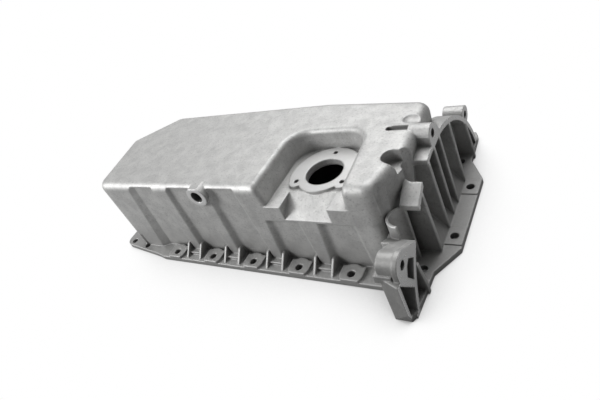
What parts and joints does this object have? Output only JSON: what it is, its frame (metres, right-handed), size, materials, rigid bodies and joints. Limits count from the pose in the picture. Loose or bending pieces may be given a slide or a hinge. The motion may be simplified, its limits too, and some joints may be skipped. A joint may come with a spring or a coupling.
{
  "type": "engine oil pan",
  "caption": "Deep cast aluminium engine oil pan with a bolt flange, ribbed front wall, recessed level-sensor seat, drain boss and an arched, ribbed gearbox end with bolt bosses.",
  "frame": {"origin": "on the block face, under the middle of the part's outline", "axes": "+X along the crankshaft towards the gearbox, +Y towards the rear side wall, +Z from the block face to the sump bottom"},
  "size_m": [0.4564, 0.2746, 0.113],
  "materials": {
    "cast_aluminium": "satin cast"
  },
  "bodies": {
    "root": {"oil_pan_casting": "cast_aluminium"}
  },
  "joints": []
}
